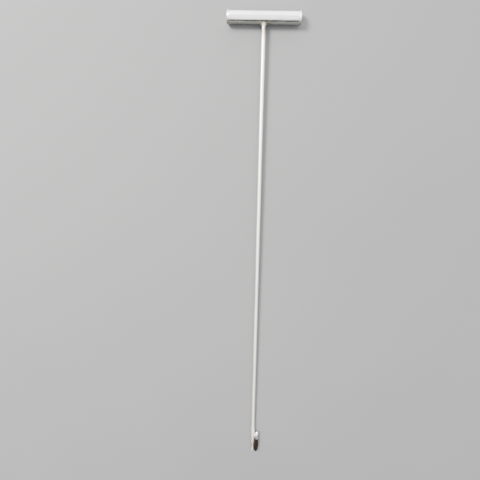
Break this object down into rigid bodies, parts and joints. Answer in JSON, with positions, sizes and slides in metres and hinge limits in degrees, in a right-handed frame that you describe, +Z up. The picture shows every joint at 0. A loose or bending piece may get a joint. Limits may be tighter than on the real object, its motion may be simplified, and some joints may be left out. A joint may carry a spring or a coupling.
{
  "type": "t-handle barbed rod",
  "caption": "Long round steel rod with a welded tubular T-handle and a small barbed point with a round ground nose at its far end, for pricking, catching and pulling at arm's length.",
  "frame": {"origin": "bottom centre of the whole tool's box, on the surface it lies on", "axes": "+X along the handle, +Y along the rod from the tip to the handle, +Z up, away from the surface it lies on"},
  "size_m": [0.11, 0.7848, 0.0197],
  "materials": {
    "handle_steel": "polished stainless tube with fine lengthwise brushing",
    "plug_steel": "turned and dressed stainless disc",
    "plug_bead": "weld bead dressed nearly flush",
    "rod_steel": "bright drawn stainless bar with a slight warm cast",
    "barb_steel": "forged stainless, bright on the ground nose, dark brown heat tint over the fin",
    "weld_bead": "rippled weld metal with straw and brown heat tint"
  },
  "bodies": {
    "root": {"handle_tube": "handle_steel", "end_plug_left": "plug_steel", "end_plug_right": "plug_steel", "plug_weld_left": "plug_bead", "plug_weld_right": "plug_bead", "rod": "rod_steel", "handle_weld": "weld_bead", "barb": "barb_steel", "barb_weld_top": "weld_bead", "barb_weld_bottom": "weld_bead"}
  },
  "joints": []
}
